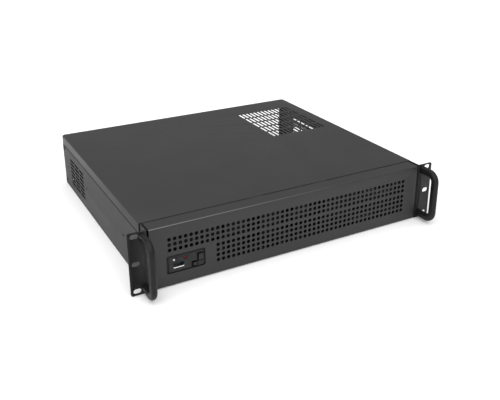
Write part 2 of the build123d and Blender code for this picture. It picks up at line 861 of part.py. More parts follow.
# Control panel: moulded plate behind the bezel, with an island in the opening
panel_back = bezel_sheet + seat + panel_sheet
stem_floor = panel_back - key_floor
keys = {
    "power": (control_x + power_offset[0], control_z + power_offset[1], *power_size),
    "reset": (control_x + reset_offset[0], control_z + reset_offset[1], *reset_size),
}
led_place = (control_x + led_offset[0], control_z + led_offset[1])
activity_place = (control_x + activity_offset[0], control_z + activity_offset[1])
usb_place = (control_x + usb_offset[0], control_z + usb_offset[1])
post_places = [(control_x + post_x, control_z + post_z) for post_x, post_z in post_offsets]
with BuildPart() as control_panel:
    with BuildSketch(facing(bezel_sheet + seat)):
        with Locations((control_x, control_z)):
            RectangleRounded(
                control_width + 2 * panel_flange,
                control_height + 2 * panel_flange,
                panel_corner,
            )
            RectangleRounded(2 * panel_half_width, panel_ear, panel_corner)
    extrude(amount=-panel_sheet)
    with BuildSketch(facing(panel_front)):
        with Locations((control_x, control_z)):
            RectangleRounded(
                control_width - 2 * control_groove,
                control_height - 2 * control_groove,
                control_corner - control_groove / 2,
            )
    extrude(amount=-(bezel_sheet + seat - panel_front))
    # Posts for the board
    with BuildSketch(facing(panel_back)):
        with Locations(*post_places):
            Circle(post_radius)
    extrude(amount=-(board_front - seat - panel_back))
    with BuildSketch(facing(board_front - seat)):
        with Locations(*post_places):
            Circle(m2 + screw_play)
    extrude(amount=post_hole, mode=Mode.SUBTRACT)
    # Openings for the lamps and the socket, and pockets with a guide for each key
    with BuildSketch(facing(panel_front)):
        with Locations(led_place):
            Circle(led_radius + screw_play)
        with Locations(activity_place):
            Circle(activity_radius + screw_play)
        with Locations(usb_place):
            Rectangle(usb_size[0] + 2 * seat, usb_size[1] + 2 * seat)
        for key_x, key_z, key_wide, key_tall in keys.values():
            with Locations((key_x, key_z)):
                Rectangle(key_stem + 2 * seat, key_stem + 2 * seat)
        for side in (-1, 1):
            with Locations((control_x + side * panel_screw_x, control_z)):
                Circle(m3 + screw_play)
    extrude(amount=-(panel_back - panel_front), mode=Mode.SUBTRACT)
    with BuildSketch(facing(panel_front)):
        for key_x, key_z, key_wide, key_tall in keys.values():
            with Locations((key_x, key_z)):
                Rectangle(key_wide + 2 * key_gap, key_tall + 2 * key_gap)
    extrude(amount=-(stem_floor - panel_front), mode=Mode.SUBTRACT)
finish(control_panel.part, "control_panel")

# Keys: a cap in its pocket, a stem through the guide and a barb that holds it back
barb_front = panel_back + seat
switch_front = board_front - seat - switch_height
stem_end = switch_front - plunger_height - key_travel - seat
for name, (key_x, key_z, key_wide, key_tall) in keys.items():
    with BuildPart() as button:
        with BuildSketch(facing(panel_front - key_proud)):
            with Locations((key_x, key_z)):
                RectangleRounded(key_wide, key_tall, key_corner)
        extrude(amount=-(stem_floor - key_travel - seat - panel_front + key_proud))
        chamfer(button.faces().sort_by(Axis.Y)[0].edges(), key_chamfer)
        with BuildSketch(facing(stem_floor - key_travel - seat)):
            with Locations((key_x, key_z)):
                Rectangle(key_stem, key_stem)
        extrude(amount=-(stem_end - stem_floor + key_travel + seat))
        with BuildSketch(facing(barb_front)):
            with Locations((key_x, key_z)):
                Rectangle(key_stem + key_barb, key_stem - key_barb)
        extrude(amount=-key_barb_depth)
    finish(button.part, f"{name}_button")

    # Push switch on the board: a square body with a round plunger
    with BuildPart() as switch:
        with BuildSketch(facing(board_front - seat)):
            with Locations((key_x, key_z)):
                Rectangle(switch_size, switch_size)
        extrude(amount=switch_height)
        with BuildSketch(facing(switch_front)):
            with Locations((key_x, key_z)):
                Circle(plunger_radius)
        extrude(amount=plunger_height)
    finish(switch.part, f"{name}_switch")

# Lamps: a domed lens with its collar and two leads down to the board
for name, (lamp_x, lamp_z), radius in (
    ("power_led", led_place, led_radius),
    ("activity_led", activity_place, activity_radius),
):
    lens_front = panel_front - lens_proud
    lens_back = panel_back + lens_depth
    with BuildPart() as lamp:
        with BuildSketch(Plane(origin=(lamp_x, 0, lamp_z), x_dir=(1, 0, 0), z_dir=(0, 0, 1))):
            with BuildLine():
                Polyline(
                    (0, behind(lens_front)),
                    (0, behind(lens_back)),
                    (radius + lens_collar, behind(lens_back)),
                    (radius + lens_collar, behind(panel_back + seat)),
                    (radius, behind(panel_back + seat)),
                    (radius, behind(lens_front + radius)),
                )
                CenterArc((0, behind(lens_front + radius)), radius, -90, 90)
            make_face()
        revolve(axis=Axis((lamp_x, 0, lamp_z), (0, 1, 0)))
        with BuildSketch(facing(lens_back)):
            with Locations((lamp_x, lamp_z)):
                with GridLocations(lead_spacing, 0, 2, 1):
                    Rectangle(lead_size, lead_size)
        extrude(amount=-(board_front - seat - lens_back))
    finish(lamp.part, name)

# Socket: a drawn shell with a tongue on its back block
usb_front = panel_front - usb_proud
usb_room = (usb_size[0] - 2 * usb_wall, usb_size[1] - 2 * usb_wall)
usb_block_front = board_front - seat - usb_block
with BuildPart() as usb_shell:
    with BuildSketch(facing(usb_front)):
        with Locations(usb_place):
            RectangleRounded(*usb_size, usb_corner)
            Rectangle(*usb_room, mode=Mode.SUBTRACT)
    extrude(amount=-(board_front - seat - usb_front))
finish(usb_shell.part, "usb_shell")

with BuildPart() as usb_tongue:
    with BuildSketch(facing(board_front - seat)):
        with Locations(usb_place):
            Rectangle(usb_room[0] - 2 * seat, usb_room[1] - 2 * seat)
    extrude(amount=usb_block)
    with BuildSketch(facing(usb_block_front)):
        with Locations((usb_place[0], usb_place[1] + usb_tongue_rise)):
            Rectangle(usb_room[0] - 2 * usb_tongue_inset, usb_tongue_height)
    extrude(amount=usb_block_front - usb_front - usb_tongue_back)
finish(usb_tongue.part, "usb_tongue")

with BuildPart() as control_board:
    with BuildSketch(facing(board_front)):
        with Locations((control_x, control_z)):
            Rectangle(control_width - 2 * board_inset, control_height + 2 * board_over)
        with Locations(*post_places):
            Circle(m2 + screw_play, mode=Mode.SUBTRACT)
    extrude(amount=-board_sheet)
finish(control_board.part, "control_board")

screws(
    "board_screws",
    [rear_seat(post_x, board_front + board_sheet, post_z) for post_x, post_z in post_places],
    m2,
    m2_head,
    m2_head_height,
    board_sheet + seat + board_screw_end,
    slot=False,
)
screws(
    "panel_screws",
    [rear_seat(control_x + side * panel_screw_x, panel_back, control_z) for side in (-1, 1)],
    m3,
    m3_head,
    m3_head_height,
    panel_sheet + seat + bezel_sheet * panel_screw_share,
    slot=False,
)

# Fans: a square frame with a duct and a bearing on struts, and a rotor with twisted blades
rotor_front = fan_back + fan_depth - fan_strut - fan_hub_gap - rotor_depth
shaft_front = rotor_front + rotor_shaft_start
blade_stations = (
    (rotor_hub - blade_root_depth, *blade_root),
    (rotor_radius, *blade_tip),
)
for fan_x, side_name in zip(fan_places, ("left", "right")):
    with BuildPart() as fan_frame:
        for flange_back in (fan_back, fan_back + fan_depth - fan_flange):
            with BuildSketch(facing(flange_back)):
                with Locations((fan_x, fan_z)):
                    RectangleRounded(fan_size, fan_size, fan_frame_corner)
                    Circle(fan_bore / 2, mode=Mode.SUBTRACT)
                    with GridLocations(fan_hole_spacing, fan_hole_spacing, 2, 2):
                        Circle(m4 + screw_play, mode=Mode.SUBTRACT)
            extrude(amount=-fan_flange)
        with BuildSketch(facing(fan_back)):
            with Locations((fan_x, fan_z)):
                Circle(fan_size / 2 - fan_duct_inset)
                Circle(fan_bore / 2, mode=Mode.SUBTRACT)
        extrude(amount=-fan_depth)
        with BuildSketch(facing(fan_back + fan_depth - fan_strut)):
            with Locations((fan_x, fan_z)):
                Circle(rotor_hub)
                with PolarLocations(fan_bore / 4 + rotor_hub / 2, 4, start_angle=45):
                    Rectangle(fan_bore / 2 - rotor_hub + fan_strut_lap, fan_strut_width)
                Circle(fan_shaft + fan_bearing_play, mode=Mode.SUBTRACT)
        extrude(amount=-fan_strut)
    finish(fan_frame.part, f"fan_frame_{side_name}")

    with BuildPart() as fan_rotor:
        with BuildSketch(facing(rotor_front)):
            with Locations((fan_x, fan_z)):
                Circle(rotor_hub)
        extrude(amount=-rotor_depth)
        with BuildSketch(facing(rotor_front + rotor_depth)):
            with Locations((fan_x, fan_z)):
                Circle(rotor_hub - rotor_wall)
        extrude(amount=rotor_depth - rotor_end, mode=Mode.SUBTRACT)
        with BuildSketch(facing(shaft_front)):
            with Locations((fan_x, fan_z)):
                Circle(fan_shaft)
        extrude(amount=-(fan_back + fan_depth - fan_shaft_end - shaft_front))
        # Each blade is lofted from a steep root to a flatter tip
        for index in range(blade_count):
            turn = 360 / blade_count * index
            outward = Vector(cos(radians(turn)), 0, sin(radians(turn)))
            middle = Vector(fan_x, behind(rotor_front + rotor_depth / 2), fan_z)
            for radius, pitch, chord in blade_stations:
                tangent = Vector(-sin(radians(turn)), 0, cos(radians(turn)))
                along = tangent * cos(radians(pitch)) + Vector(0, 1, 0) * sin(radians(pitch))
                station = Plane(origin=middle + outward * radius, x_dir=along, z_dir=outward)
                with BuildSketch(station):
                    Rectangle(chord, blade_sheet)
            loft(ruled=True)
    finish(fan_rotor.part, f"fan_rotor_{side_name}")

screws(
    "fan_screws",
    [
        front_seat(fan_x + corner_x, wall_front, fan_z + corner_z)
        for fan_x in fan_places
        for corner_x in (-fan_corner, fan_corner)
        for corner_z in (-fan_corner, fan_corner)
    ],
    m4,
    m4_head,
    m4_head_height,
    sheet + seat + 2 * fan_flange,
    slot=False,
)

# Drive cage: a folded channel with inward lips, screwed to the floor
cage_section = [
    (cage_x - cage_outer + cage_lip, floor_top + seat + cage_height),
    (cage_x - cage_outer, floor_top + seat + cage_height),
    (cage_x - cage_outer, floor_top + seat),
    (cage_x + cage_outer, floor_top + seat),
    (cage_x + cage_outer, floor_top + seat + cage_height),
    (cage_x + cage_outer - cage_lip, floor_top + seat + cage_height),
]
with BuildPart() as drive_cage:
    with BuildSketch(facing(cage_front)):
        add(folded(cage_section, sheet, sheet_bend, Side.LEFT))
    extrude(amount=-cage_depth)
    with BuildSketch(across(cage_x - cage_outer - sheet)):
        for row_z in drive_hole_rows:
            for place in drive_hole_places:
                with Locations((behind(cage_front + place), floor_top + seat + sheet + row_z)):
                    SlotOverall(*drive_slot)
    extrude(amount=2 * (cage_outer + sheet), mode=Mode.SUBTRACT)
    for screw_x, screw_back in cage_screw_places:
        with BuildSketch(Plane(origin=(screw_x, behind(screw_back), floor_top + seat + sheet))):
            Circle(m3 + screw_play)
        extrude(amount=-sheet, mode=Mode.SUBTRACT)
    # Window in the floor of the cage, to lighten it
    with BuildSketch(Plane.XY.offset(floor_top + seat)):
        with Locations((cage_x, behind(cage_front + cage_depth / 2))):
            RectangleRounded(
                cage_inner * cage_window_shares[0],
                cage_depth * cage_window_shares[1],
                cage_window_corner,
            )
    extrude(amount=sheet, mode=Mode.SUBTRACT)
finish(drive_cage.part, "drive_cage")

screws(
    "cage_screws",
    [
        Plane(origin=(screw_x, behind(screw_back), floor_top + seat + sheet))
        for screw_x, screw_back in cage_screw_places
    ],
    m3,
    m3_head,
    m3_head_height,
    sheet + seat + sheet * thread_share,
    slot=False,
)

# Cross brace: an inverted channel between the side walls, with an end tab at each
brace_section = [
    (behind(brace_back - brace_width / 2), brace_top - brace_height),
    (behind(brace_back - brace_width / 2), brace_top),
    (behind(brace_back + brace_width / 2), brace_top),
    (behind(brace_back + brace_width / 2), brace_top - brace_height),
]
brace_half = upper_inner - seat - sheet
with BuildPart() as cross_brace:
    with BuildSketch(across(-brace_half)):
        add(folded(brace_section, sheet, sheet_bend, Side.RIGHT))
    extrude(amount=2 * brace_half)
    for side in (-1, 1):
        with BuildSketch(across(side * brace_half)):
            with Locations((behind(brace_back), brace_screw_z)):
                Rectangle(brace_width, brace_height)
            for offset_y in (-brace_screw_offset, brace_screw_offset):
                with Locations((behind(brace_back + offset_y), brace_screw_z)):
                    Circle(m3 + screw_play, mode=Mode.SUBTRACT)
        extrude(amount=side * sheet)
finish(cross_brace.part, "cross_brace")

screws(
    "brace_screws",
    [
        inner_seat(side, brace_half, brace_back + offset_y, brace_screw_z)
        for side in (-1, 1)
        for offset_y in (-brace_screw_offset, brace_screw_offset)
    ],
    m3,
    brace_screw_head,
    brace_screw_head_height,
    sheet + seat + sheet * thread_share,
    slot=False,
)

# Stand-offs: hexagonal spacers with a thread in the top and a stud pressed into the floor
with BuildPart() as board_standoffs:
    for spacer_x, spacer_back in standoff_places:
        place = Plane(origin=(spacer_x, behind(spacer_back), floor_top))
        with BuildSketch(place):
            RegularPolygon(standoff_across / 2, 6, major_radius=False)
        extrude(amount=standoff_height)
        with BuildSketch(place):
            Circle(m3)
        extrude(amount=-sheet * thread_share)
        with BuildSketch(place.offset(standoff_height)):
            Circle(standoff_thread)
        extrude(amount=-standoff_height + standoff_floor, mode=Mode.SUBTRACT)
finish(board_standoffs.part, "board_standoffs")
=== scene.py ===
import json
import math

import bmesh
import bpy
from mathutils import Matrix, Vector
from mathutils.geometry import delaunay_2d_cdt


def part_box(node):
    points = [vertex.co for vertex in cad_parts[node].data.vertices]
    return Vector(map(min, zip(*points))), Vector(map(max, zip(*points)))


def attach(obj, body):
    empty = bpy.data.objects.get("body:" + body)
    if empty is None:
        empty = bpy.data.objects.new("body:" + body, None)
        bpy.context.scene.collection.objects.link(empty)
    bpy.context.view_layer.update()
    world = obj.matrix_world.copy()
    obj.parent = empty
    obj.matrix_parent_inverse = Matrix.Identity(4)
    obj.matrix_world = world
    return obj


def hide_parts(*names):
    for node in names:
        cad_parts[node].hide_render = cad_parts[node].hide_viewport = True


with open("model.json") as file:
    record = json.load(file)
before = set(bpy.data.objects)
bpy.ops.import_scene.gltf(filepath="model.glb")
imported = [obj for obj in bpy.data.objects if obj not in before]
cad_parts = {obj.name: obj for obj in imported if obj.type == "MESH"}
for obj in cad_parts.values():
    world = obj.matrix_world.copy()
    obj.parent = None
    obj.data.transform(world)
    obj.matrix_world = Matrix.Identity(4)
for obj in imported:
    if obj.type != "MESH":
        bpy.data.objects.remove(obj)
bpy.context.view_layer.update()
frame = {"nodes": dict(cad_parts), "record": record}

# Empty rackmount server case. Its lengths are in millimetres and become metres through mm;
# the camera's and the studio's are in metres.
mm = 0.001
bodyOf = {node: body for body, nodes in frame["record"]["behaviour"]["bodies"].items()
          for node in nodes}
slotOf = {part["node"]: part["material_slot"] for part in frame["record"]["subparts"]}
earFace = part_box("left_ear")[0].y                       # front plane of the ears and the bezel
joinDistance = 0.002 * mm                               # corners closer than this are one
print("case frame loaded,", len(slotOf), "nodes")


# Camera and light

photoCamera = {
    "place": (-0.4567, -0.89135, 0.4714),
    "azimuth": -28.5,                                   # this and the next two in degrees
    "elevation": 21.2,
    "roll": -0.234,
    "focalPixels": 679.2,
    "photoWidth": 500,
    "shiftPixels": -45,
    "sensor": 36.0,                                     # millimetres
    "clipStart": 0.05,
}


def makeCamera(look):
    azimuth, elevation, roll = (math.radians(look[k]) for k in ("azimuth", "elevation", "roll"))
    level = math.cos(elevation)
    back = Vector((math.sin(azimuth) * level, -math.cos(azimuth) * level, math.sin(elevation)))
    right = Vector((math.cos(azimuth), math.sin(azimuth), 0))
    up = back.cross(right)
    turnedRight = math.cos(roll) * right + math.sin(roll) * up
    turnedUp = math.cos(roll) * up - math.sin(roll) * right
    turn = Matrix((turnedRight, turnedUp, back)).transposed()
    data = bpy.data.cameras.new("photoCamera")
    data.sensor_width = look["sensor"]
    data.lens = look["focalPixels"] / look["photoWidth"] * look["sensor"]
    data.shift_y = look["shiftPixels"] / look["photoWidth"]
    data.clip_start = look["clipStart"]
    camera = bpy.data.objects.new("photoCamera", data)
    camera.matrix_world = Matrix.Translation(look["place"]) @ turn.to_4x4()
    bpy.context.scene.collection.objects.link(camera)
    bpy.context.scene.camera = camera


studio = {
    "worldColor": (1.0, 1.0, 1.0),
    "worldStrength": 0.46,
    "floorColor": (0.95, 0.95, 0.95),
    "floorRoughness": 0.9,
    "floorSpecular": 0.1,
    "floorSize": 60.0,
    "overhead": {                                       # a ceiling: even light, soft shadows
        "strength": 3.0,
        "spread": 100.0,                                # degrees
        "from": (-0.25, -0.35, 1.0),
    },
    "softboxes": {                                      # place, size and power in watts
        "leftSoftbox": ((-2.2, -0.6, 0.9), (1.6, 1.4), 10.0),
    },
    "aim": (0.0, 0.0, 0.05),
}


def aimed(thing, direction):
    thing.rotation_mode = "QUATERNION"
    thing.rotation_quaternion = Vector(direction).to_track_quat("-Z", "Y")
    bpy.context.scene.collection.objects.link(thing)


def makeLights(look):
    world = bpy.data.worlds.new("studioWorld")
    bpy.context.scene.world = world
    world.use_nodes = True
    background = world.node_tree.nodes["Background"]
    background.inputs["Color"].default_value = (*look["worldColor"], 1)
    background.inputs["Strength"].default_value = look["worldStrength"]
    ceiling = bpy.data.lights.new("overhead", "SUN")
    ceiling.energy = look["overhead"]["strength"]
    ceiling.angle = math.radians(look["overhead"]["spread"])
    aimed(bpy.data.objects.new("overhead", ceiling), -Vector(look["overhead"]["from"]))
    for name, (place, size, power) in look["softboxes"].items():
        data = bpy.data.lights.new(name, "AREA")
        data.shape = "RECTANGLE"
        data.size, data.size_y = size
        data.energy = power
        lamp = bpy.data.objects.new(name, data)
        lamp.location = place
        aimed(lamp, Vector(look["aim"]) - Vector(place))


def makeFloor(look):
    half = look["floorSize"] / 2
    data = bpy.data.meshes.new("floor")
    data.from_pydata([(-half, -half, 0), (half, -half, 0), (half, half, 0), (-half, half, 0)], [],
                     [(0, 1, 2, 3)])
    floor = bpy.data.objects.new("floor", data)
    bpy.context.scene.collection.objects.link(floor)
    paper = bpy.data.materials.new("studioPaper")
    paper.use_nodes = True
    shader = paper.node_tree.nodes["Principled BSDF"]
    shader.inputs["Base Color"].default_value = (*look["floorColor"], 1)
    shader.inputs["Roughness"].default_value = look["floorRoughness"]
    shader.inputs["Specular IOR Level"].default_value = look["floorSpecular"]
    data.materials.append(paper)


makeCamera(photoCamera)
bpy.context.scene.view_settings.view_transform = "Standard"
makeLights(studio)
makeFloor(studio)
print("studio set")


# Finishes. Most take their colour, their roughness and a fine bump from noises.

noiseStops = {                                          # noise values for the low and the high end
    "color": (0.35, 0.65),
    "roughness": (0.3, 0.7),
}


class Finish:
    def __init__(self, name, roughness, metallic=0.0, specular=0.5):
        self.material = bpy.data.materials.new(name)
        self.material.use_nodes = True
        self.tree = self.material.node_tree
        self.shader = self.tree.nodes["Principled BSDF"]
        self.shader.inputs["Roughness"].default_value = roughness
        self.shader.inputs["Metallic"].default_value = metallic
        self.shader.inputs["Specular IOR Level"].default_value = specular
        self.place = self.tree.nodes.new("ShaderNodeTexCoord").outputs["Object"]

    def noise(self, scale, detail=3.0):
        node = self.tree.nodes.new("ShaderNodeTexNoise")
        node.inputs["Scale"].default_value = scale
        node.inputs["Detail"].default_value = detail
        self.tree.links.new(self.place, node.inputs["Vector"])
        return node.outputs["Fac"]

    def tint(self, source, dark, light):
        ramp = self.tree.nodes.new("ShaderNodeValToRGB")
        ends = zip(ramp.color_ramp.elements, noiseStops["color"], (dark, light))
        for stop, position, color in ends:
            stop.position = position
            stop.color = (*color, 1)
        self.tree.links.new(source, ramp.inputs["Fac"])
        self.tree.links.new(ramp.outputs["Color"], self.shader.inputs["Base Color"])

    def ranged(self, source, start, full, low=0.0, high=1.0):
        spread = self.tree.nodes.new("ShaderNodeMapRange")
        ends = {"From Min": start, "From Max": full, "To Min": low, "To Max": high}
        for socket, value in ends.items():
            spread.inputs[socket].default_value = value
        self.tree.links.new(source, spread.inputs["Value"])
        return spread.outputs["Result"]

    def band(self, direction, start, full):
        # Rises from 0 to 1 between two places along a direction of the case's frame
        along = self.tree.nodes.new("ShaderNodeVectorMath")
        along.operation = "DOT_PRODUCT"
        along.inputs[1].default_value = direction
        self.tree.links.new(self.place, along.inputs[0])
        return self.ranged(along.outputs["Value"], start, full)

    def both(self, one, other):
        product = self.tree.nodes.new("ShaderNodeMath")
        product.operation = "MULTIPLY"
        self.tree.links.new(one, product.inputs[0])
        self.tree.links.new(other, product.inputs[1])
        return product.outputs["Value"]

    def paintShadeHighlight(self, share, color):
        # Turns the base colour towards another one by a share that varies over the piece; used for
        # painted shade and a painted highlight
        mix = self.tree.nodes.new("ShaderNodeMix")
        mix.data_type = "RGBA"
        before = self.shader.inputs["Base Color"].links[0].from_socket
        self.tree.links.new(share, mix.inputs["Factor"])
        self.tree.links.new(before, mix.inputs["A"])
        mix.inputs["B"].default_value = (*color, 1)
        self.tree.links.new(mix.outputs["Result"], self.shader.inputs["Base Color"])

    def roughen(self, source, low, high):
        varied = self.ranged(source, *noiseStops["roughness"], low, high)
        self.tree.links.new(varied, self.shader.inputs["Roughness"])

    def grain(self, source, strength, depth):
        bump = self.tree.nodes.new("ShaderNodeBump")
        bump.inputs["Strength"].default_value = strength
        bump.inputs["Distance"].default_value = depth
        self.tree.links.new(source, bump.inputs["Height"])
        self.tree.links.new(bump.outputs["Normal"], self.shader.inputs["Normal"])


coatLook = {
    "dark": (0.0195, 0.0195, 0.0205),
    "light": (0.0225, 0.0225, 0.0235),
    "patchScale": 14.0,                                 # all scales are noise cells to the metre
    "evenRoughness": 0.44,                              # the shader's own, under the varied one
    "roughness": (0.52, 0.55),
    "roughnessScale": 55.0,
    "specular": 0.42,
    "grainScale": 1500.0,
    "grainDetail": 2.0,
    "grainStrength": 0.10,
    "grainDepth": 0.02 * mm,
}
handleLook = dict(coatLook, dark=(0.006, 0.006, 0.0065), light=(0.008, 0.008, 0.0085),
                  roughness=(0.40, 0.48), specular=0.22, grainScale=900.0, grainStrength=0.08)
screwLook = dict(handleLook, dark=(0.014, 0.014, 0.015))
mouldedLook = dict(coatLook, dark=(0.010, 0.010, 0.011), light=(0.013, 0.013, 0.014),
                   roughness=(0.48, 0.6), specular=0.35, grainScale=3200.0, grainStrength=0.35,
                   grainDepth=0.03 * mm)
keyLook = dict(mouldedLook, roughness=(0.34, 0.42), grainStrength=0.15)
fanLook = dict(mouldedLook, dark=(0.007, 0.007, 0.008), light=(0.009, 0.009, 0.010))
rotorLook = dict(keyLook, dark=(0.008, 0.008, 0.009), light=(0.011, 0.011, 0.012))
# Painted shade in the control panel's gaps
recess = {
    "reach": (0.7 * mm, 0.9 * mm),                      # behind the face: painted shade starts, is full
    "color": (0.0008, 0.0008, 0.0008),
}


def coated(name, look):
    finish = Finish(name, look["evenRoughness"], specular=look["specular"])
    finish.tint(finish.noise(look["patchScale"]), look["dark"], look["light"])
    finish.roughen(finish.noise(look["roughnessScale"]), *look["roughness"])
    finish.grain(finish.noise(look["grainScale"], look["grainDetail"]), look["grainStrength"],
                 look["grainDepth"])
    return finish


def powderCoat(name, look):
    return coated(name, look).material


def recessShaded(name, look):
    # Painted shade: what lies behind the bezel's face turns black, so the gaps around the island
    # and the keys look unlit
    finish = coated(name, look)
    behind = (earFace + depth for depth in recess["reach"])
    finish.paintShadeHighlight(finish.band((0, 1, 0), *behind), recess["color"])
    return finish.material


platedLook = {
    "patchScale": 90.0,
    "patchDetail": 6.0,
    "roughnessScale": 240.0,
    "roughnessDetail": 4.0,
    "grainScale": 1800.0,
    "grainDetail": 2.0,
    "grainStrength": 0.08,
    "grainDepth": 0.02 * mm,
}


def plated(name, dark, light, roughness):
    look = platedLook
    finish = Finish(name, roughness[0], metallic=1.0)
    finish.tint(finish.noise(look["patchScale"], look["patchDetail"]), dark, light)
    finish.roughen(finish.noise(look["roughnessScale"], look["roughnessDetail"]), *roughness)
    return finish


def platedSteel(name, dark, light, roughness):
    look = platedLook
    finish = plated(name, dark, light, roughness)
    finish.grain(finish.noise(look["grainScale"], look["grainDetail"]), look["grainStrength"],
                 look["grainDepth"])
    return finish.material


lensLook = {
    "roughness": 0.3,
    "specular": 0.25,
    "darker": 0.9,                                      # share of the colour in the dark patches
    "patchScale": 600.0,
    "grainScale": 2500.0,
    "grainStrength": 0.05,
    "grainDepth": 0.01 * mm,
}


def lensGlow(name, color, glow, strength):
    look = lensLook
    finish = Finish(name, look["roughness"], specular=look["specular"])
    finish.tint(finish.noise(look["patchScale"]), tuple(c * look["darker"] for c in color), color)
    finish.grain(finish.noise(look["grainScale"]), look["grainStrength"], look["grainDepth"])
    finish.shader.inputs["Emission Color"].default_value = (*glow, 1)
    finish.shader.inputs["Emission Strength"].default_value = strength
    return finish.material


plainMoulding = {
    "roughness": 0.5,
    "patchScale": 300.0,
    "grainScale": 3000.0,
    "grainStrength": 0.12,
    "grainDepth": 0.02 * mm,
}


def moulding(name, dark, light):
    look = plainMoulding
    finish = Finish(name, look["roughness"])
    finish.tint(finish.noise(look["patchScale"]), dark, light)
    finish.grain(finish.noise(look["grainScale"]), look["grainStrength"], look["grainDepth"])
    return finish.material


boardLook = {
    "roughness": 0.3,
    "scale": 420.0,
    "trackWidth": 0.03,
    "maskColors": ((0.008, 0.010, 0.009), (0.010, 0.012, 0.011)),
    "trackColor": (0.022, 0.027, 0.024),
}


def boardMask(name, look):
    # Copper tracks show through the mask as paler lines
    finish = Finish(name, look["roughness"])
    lines = finish.tree.nodes.new("ShaderNodeTexBrick")
    lines.inputs["Scale"].default_value = look["scale"]
    lines.inputs["Mortar Size"].default_value = look["trackWidth"]
    colors = (*look["maskColors"], look["trackColor"])
    for socket, color in zip(("Color1", "Color2", "Mortar"), colors):
        lines.inputs[socket].default_value = (*color, 1)
    finish.tree.links.new(finish.place, lines.inputs["Vector"])
    finish.tree.links.new(lines.outputs["Color"], finish.shader.inputs["Base Color"])
    return finish.material


shellLook = {                                           # its lower lip is bright, the rest painted in shade
    "dark": (0.86, 0.84, 0.82),
    "light": (0.96, 0.94, 0.92),
    "evenRoughness": 0.2,
    "roughness": (0.24, 0.34),
    "shade": (0.03, 0.045, 0.05),
    "reach": (1.2 * mm, 2.0 * mm),                      # above its low edge: shade starts, is full
}


def socketShell(name, look):
    finish = plated(name, look["dark"], look["light"], look["roughness"])
    finish.shader.inputs["Roughness"].default_value = look["evenRoughness"]
    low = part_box("usb_shell")[0].z
    finish.paintShadeHighlight(finish.band((0, 0, 1), *(low + rise for rise in look["reach"])), look["shade"])
    return finish.material


finishes = {
    "black_steel": powderCoat("blackCoat", coatLook),
    "handle_black": powderCoat("handleEnamel", handleLook),
    "plated_steel": platedSteel("zincSheet", (0.50, 0.52, 0.53), (0.66, 0.67, 0.68), (0.34, 0.46)),
    "screw_plated": platedSteel("zincScrew", (0.52, 0.53, 0.54), (0.64, 0.65, 0.66), (0.26, 0.36)),
    "screw_black": powderCoat("blackOxide", screwLook),
    "panel_plastic": recessShaded("panelMoulding", mouldedLook),
    "key_plastic": recessShaded("keyMoulding", keyLook),
    "fan_frame": powderCoat("fanMoulding", fanLook),
    "fan_rotor": powderCoat("rotorMoulding", rotorLook),
    "lamp_white": lensGlow("whiteLamp", (0.46, 0.47, 0.49), (0.90, 0.93, 1.0), 0.20),
    "lamp_red": lensGlow("redLamp", (0.07, 0.003, 0.005), (0.4, 0.01, 0.015), 0.03),
    "socket_shell": socketShell("nickelShell", shellLook),
    "socket_tongue": moulding("blueMoulding", (0.003, 0.018, 0.026), (0.004, 0.024, 0.034)),
    "board": boardMask("blackBoard", boardLook),
    "switch": moulding("switchMoulding", (0.04, 0.04, 0.04), (0.05, 0.05, 0.05)),
    "brass": platedSteel("turnedBrass", (0.60, 0.42, 0.16), (0.72, 0.54, 0.24), (0.26, 0.36)),
}
print("finishes made,", len(finishes))


# Small helpers for meshes

def objectFrom(name, shape):
    mesh = bpy.data.meshes.new(name)
    shape.to_mesh(mesh)
    shape.free()
    thing = bpy.data.objects.new(name, mesh)
    bpy.context.scene.collection.objects.link(thing)
    return thing


def addPiece(name, shape, node):
    # What shows in place of the node's solid
    piece = objectFrom(name, shape)
    piece.data.materials.clear()
    piece.data.materials.append(finishes[slotOf[node]])
    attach(piece, bodyOf[node])
    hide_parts(node)
    return piece


def joinedShape(node):
    # The node's own mesh with its triangles joined at their corners
    shape = bmesh.new()
    shape.from_mesh(frame["nodes"][node].data)
    bmesh.ops.remove_doubles(shape, verts=shape.verts, dist=joinDistance)
    return shape


def smoothByAngle(mesh, degrees):
    mesh.shade_smooth()
    mesh.set_sharp_from_angle(angle=math.radians(degrees))


def applyModifiers(piece):
    bpy.context.view_layer.update()
    depsgraph = bpy.context.evaluated_depsgraph_get()
    mesh = bpy.data.meshes.new_from_object(piece.evaluated_get(depsgraph), depsgraph=depsgraph)
    old = piece.data
    piece.modifiers.clear()
    piece.data = mesh
    bpy.data.meshes.remove(old)


def islands(node):
    # Lowest and highest corner of each separate solid of a node
    shape = joinedShape(node)
    left = set(shape.verts)
    found = []
    while left:
        group, edge = set(), [left.pop()]
        while edge:
            vertex = edge.pop()
            group.add(vertex)
            for link in vertex.link_edges:
                other = link.other_vert(vertex)
                if other in left:
                    left.discard(other)
                    edge.append(other)
        corners = [[f(v.co[i] for v in group) for i in range(3)] for f in (min, max)]
        found.append((Vector(corners[0]), Vector(corners[1])))
    shape.free()
    return sorted(found, key=lambda box: tuple(round(c, 5) for c in box[0]))


def roundedOutline(cx, cz, width, height, radius, steps=6):
    points = []
    for sx, sz, start in ((1, 1, 0), (-1, 1, 90), (-1, -1, 180), (1, -1, 270)):
        for i in range(steps + 1):
            turn = math.radians(start + 90 * i / steps)
            points.append((cx + sx * (width / 2 - radius) + radius * math.cos(turn),
                           cz + sz * (height / 2 - radius) + radius * math.sin(turn)))
    return points


def joinRings(shape, one, other):
    # Four-sided faces between two closed rings of as many corners
    faces = []
    for i in range(len(one)):
        j = (i + 1) % len(one)
        faces.append(shape.faces.new((one[i], one[j], other[j], other[i])))
    return faces


# Front bezel: the folded channel with its punched face, with round holes

